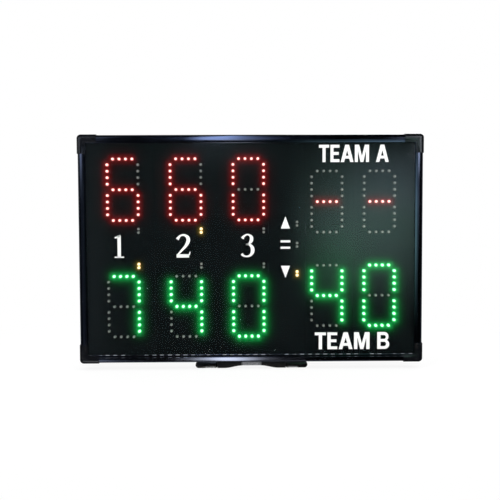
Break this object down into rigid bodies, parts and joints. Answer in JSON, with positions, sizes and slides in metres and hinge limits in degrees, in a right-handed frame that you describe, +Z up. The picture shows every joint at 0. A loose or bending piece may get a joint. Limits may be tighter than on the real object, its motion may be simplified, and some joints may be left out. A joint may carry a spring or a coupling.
{
  "type": "electronic scoreboard",
  "caption": "Shallow portable tennis scoreboard: framed case with seven-segment LED digits behind a smoked window, corner caps, strap handle, rear hangers and power rocker.",
  "frame": {"origin": "on the wall plane that the rear hangers and bumpers touch, behind the centre of the frame", "axes": "+X to the viewer's right, +Y out of the rear towards the wall, +Z up; the face looks towards -Y"},
  "size_m": [0.6848, 0.0511, 0.4679],
  "materials": {
    "frame_anodised": "black anodised extrusion, satin with fine draw lines",
    "moulded_black": "black injection-moulded ABS with a fine spark texture",
    "smoked_acrylic": "smoked clear acrylic sheet, polished",
    "board_black": "matt black solder resist over glass-epoxy board",
    "board_green": "green solder resist over glass-epoxy board",
    "back_sheet": "aluminium sheet, black powder coat",
    "zinc_steel": "bright zinc-plated pressed steel",
    "black_rubber": "black moulded rubber",
    "tinned_brass": "stamped brass",
    "ribbon_grey": "grey flat ribbon cable",
    "lead_jacket": "black PVC-jacketed twin lead",
    "blue_wrap": "blue shrink sleeve",
    "nylon_black": "black moulded nylon"
  },
  "bodies": {
    "case": {"back_panel": "back_sheet", "battery_clamp": "zinc_steel", "battery_lead": "lead_jacket", "battery_pack": "blue_wrap", "board_link": "nylon_black", "bumper_left": "black_rubber", "bumper_right": "black_rubber", "capacitor_high": "blue_wrap", "capacitor_low": "blue_wrap", "control_board": "board_green", "corner_cap_bottom_left": "moulded_black", "corner_cap_bottom_right": "moulded_black", "corner_cap_top_left": "moulded_black", "corner_cap_top_right": "moulded_black", "corner_key_bottom_left": "zinc_steel", "corner_key_bottom_right": "zinc_steel", "corner_key_top_left": "zinc_steel", "corner_key_top_right": "zinc_steel", "dc_socket": "nylon_black", "dc_socket_nut": "zinc_steel", "frame_bottom": "frame_anodised", "frame_left": "frame_anodised", "frame_right": "frame_anodised", "frame_top": "frame_anodised", "front_window": "smoked_acrylic", "guest_game_tens_board": "board_black", "guest_game_units_board": "board_black", "guest_set1_board": "board_black", "guest_set2_board": "board_black", "guest_set3_board": "board_black", "handle_cap_left": "moulded_black", "handle_cap_right": "moulded_black", "handle_nut_plate_left": "zinc_steel", "handle_nut_plate_right": "zinc_steel", "handle_screw_left": "zinc_steel", "handle_screw_right": "zinc_steel", "handle_strap": "black_rubber", "hanger_left": "zinc_steel", "hanger_right": "zinc_steel", "home_game_tens_board": "board_black", "home_game_units_board": "board_black", "home_set1_board": "board_black", "home_set2_board": "board_black", "home_set3_board": "board_black", "receiver_antenna": "tinned_brass", "receiver_module": "board_green", "ribbon_guest_game": "ribbon_grey", "ribbon_guest_sets": "ribbon_grey", "ribbon_home_game": "ribbon_grey", "ribbon_home_sets": "ribbon_grey", "serve_board": "board_black", "socket_lead": "lead_jacket", "switch_housing": "nylon_black", "switch_lead": "lead_jacket", "switch_terminal_high": "tinned_brass", "switch_terminal_low": "tinned_brass"},
    "rocker": {"power_rocker": "nylon_black"}
  },
  "joints": [
    {"name": "power_rocker_pivot", "type": "hinge", "parent": "case", "child": "rocker", "pos_m": [0.2046, -0.009, -0.13108], "axis": [1, 0, 0], "range_deg": [-18, 0]}
  ]
}
